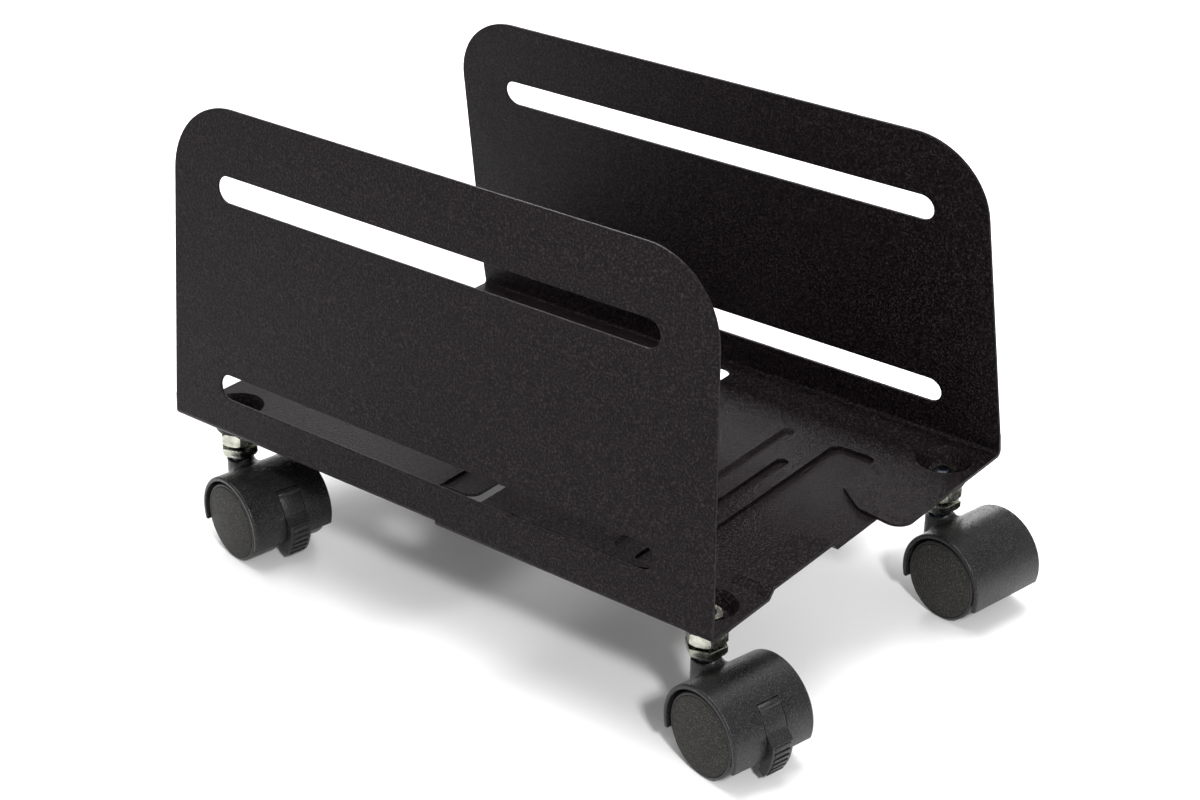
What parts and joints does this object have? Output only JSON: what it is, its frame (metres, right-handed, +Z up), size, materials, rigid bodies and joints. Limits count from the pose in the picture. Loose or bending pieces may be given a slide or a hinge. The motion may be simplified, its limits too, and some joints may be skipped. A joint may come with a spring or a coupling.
{
  "type": "rolling computer tower holder",
  "caption": "Low rolling holder for a computer tower: two overlapping pressed steel halves with slotted side panels slide apart for width, on twin-wheel swivel casters with brakes at one side.",
  "frame": {"origin": "centre of the footprint's bounding box, on the floor", "axes": "+X to the right, from the half with the braked casters to the plain half; +Y to the back, along the panels; +Z up"},
  "size_m": [0.225, 0.367, 0.2318],
  "materials": {
    "black_paint": "fine-texture powder coat",
    "hood_nylon": "moulded satin",
    "wheel_nylon": "moulded satin",
    "cap_nylon": "fine grain",
    "lever_nylon": "moulded satin",
    "zinc": "bright zinc plate",
    "dark_steel": "plated"
  },
  "bodies": {
    "left_half": {"left_frame": "black_paint", "front_left_stem": "dark_steel", "front_left_seat_nut": "zinc", "front_left_washer": "zinc", "front_left_lock_nut": "zinc", "rear_left_stem": "dark_steel", "rear_left_seat_nut": "zinc", "rear_left_washer": "zinc", "rear_left_lock_nut": "zinc", "front_clamp_bolt": "zinc", "front_clamp_washer": "zinc", "front_wing_nut": "zinc"},
    "right_half": {"right_frame": "black_paint", "front_right_stem": "dark_steel", "front_right_seat_nut": "zinc", "front_right_washer": "zinc", "front_right_lock_nut": "zinc", "rear_right_stem": "dark_steel", "rear_right_seat_nut": "zinc", "rear_right_washer": "zinc", "rear_right_lock_nut": "zinc", "rear_clamp_bolt": "zinc", "rear_clamp_washer": "zinc", "rear_wing_nut": "zinc"},
    "front_left_swivel": {"front_left_hood": "hood_nylon", "front_left_axle": "dark_steel", "front_left_brake_pin": "zinc"},
    "front_left_wheel_left": {"front_left_wheel_left": "wheel_nylon", "front_left_cap_left": "cap_nylon"},
    "front_left_wheel_right": {"front_left_wheel_right": "wheel_nylon", "front_left_cap_right": "cap_nylon"},
    "front_left_brake": {"front_left_brake_lever": "lever_nylon"},
    "rear_left_swivel": {"rear_left_hood": "hood_nylon", "rear_left_axle": "dark_steel", "rear_left_brake_pin": "zinc"},
    "rear_left_wheel_left": {"rear_left_wheel_left": "wheel_nylon", "rear_left_cap_left": "cap_nylon"},
    "rear_left_wheel_right": {"rear_left_wheel_right": "wheel_nylon", "rear_left_cap_right": "cap_nylon"},
    "rear_left_brake": {"rear_left_brake_lever": "lever_nylon"},
    "front_right_swivel": {"front_right_hood": "hood_nylon", "front_right_axle": "dark_steel"},
    "front_right_wheel_left": {"front_right_wheel_left": "wheel_nylon", "front_right_cap_left": "cap_nylon"},
    "front_right_wheel_right": {"front_right_wheel_right": "wheel_nylon", "front_right_cap_right": "cap_nylon"},
    "rear_right_swivel": {"rear_right_hood": "hood_nylon", "rear_right_axle": "dark_steel"},
    "rear_right_wheel_left": {"rear_right_wheel_left": "wheel_nylon", "rear_right_cap_left": "cap_nylon"},
    "rear_right_wheel_right": {"rear_right_wheel_right": "wheel_nylon", "rear_right_cap_right": "cap_nylon"}
  },
  "joints": [
    {"name": "width_slide", "type": "slide", "parent": "left_half", "child": "right_half", "axis": [1, 0, 0], "range_m": [-0.016, 0.044]},
    {"name": "front_left_swivel", "type": "hinge", "parent": "left_half", "child": "front_left_swivel", "pos_m": [-0.07992, -0.11851, 0.0396], "axis": [0, 0, 1], "continuous": true},
    {"name": "front_left_wheel_left", "type": "hinge", "parent": "front_left_swivel", "child": "front_left_wheel_left", "pos_m": [-0.08524, -0.13986, 0.02], "axis": [0.9703, -0.2419, 0], "continuous": true},
    {"name": "front_left_wheel_right", "type": "hinge", "parent": "front_left_swivel", "child": "front_left_wheel_right", "pos_m": [-0.08524, -0.13986, 0.02], "axis": [0.9703, -0.2419, 0], "continuous": true},
    {"name": "front_left_brake", "type": "hinge", "parent": "front_left_swivel", "child": "front_left_brake", "pos_m": [-0.0892, -0.15575, 0.03528], "axis": [-0.9703, 0.2419, 0], "range_deg": [-3, 12]},
    {"name": "rear_left_swivel", "type": "hinge", "parent": "left_half", "child": "rear_left_swivel", "pos_m": [-0.07992, 0.16549, 0.0396], "axis": [0, 0, 1], "continuous": true},
    {"name": "rear_left_wheel_left", "type": "hinge", "parent": "rear_left_swivel", "child": "rear_left_wheel_left", "pos_m": [-0.08411, 0.14389, 0.02], "axis": [0.9816, -0.1908, 0], "continuous": true},
    {"name": "rear_left_wheel_right", "type": "hinge", "parent": "rear_left_swivel", "child": "rear_left_wheel_right", "pos_m": [-0.08411, 0.14389, 0.02], "axis": [0.9816, -0.1908, 0], "continuous": true},
    {"name": "rear_left_brake", "type": "hinge", "parent": "rear_left_swivel", "child": "rear_left_brake", "pos_m": [-0.08724, 0.12781, 0.03528], "axis": [-0.9816, 0.1908, 0], "range_deg": [-3, 12]},
    {"name": "front_right_swivel", "type": "hinge", "parent": "right_half", "child": "front_right_swivel", "pos_m": [0.09008, -0.13451, 0.0396], "axis": [0, 0, 1], "continuous": true},
    {"name": "front_right_wheel_left", "type": "hinge", "parent": "front_right_swivel", "child": "front_right_wheel_left", "pos_m": [0.08551, -0.15603, 0.02], "axis": [0.9781, -0.2079, 0], "continuous": true},
    {"name": "front_right_wheel_right", "type": "hinge", "parent": "front_right_swivel", "child": "front_right_wheel_right", "pos_m": [0.08551, -0.15603, 0.02], "axis": [0.9781, -0.2079, 0], "continuous": true},
    {"name": "rear_right_swivel", "type": "hinge", "parent": "right_half", "child": "rear_right_swivel", "pos_m": [0.09008, 0.14949, 0.0396], "axis": [0, 0, 1], "continuous": true},
    {"name": "rear_right_wheel_left", "type": "hinge", "parent": "rear_right_swivel", "child": "rear_right_wheel_left", "pos_m": [0.08551, 0.12797, 0.02], "axis": [0.9781, -0.2079, 0], "continuous": true},
    {"name": "rear_right_wheel_right", "type": "hinge", "parent": "rear_right_swivel", "child": "rear_right_wheel_right", "pos_m": [0.08551, 0.12797, 0.02], "axis": [0.9781, -0.2079, 0], "continuous": true}
  ]
}
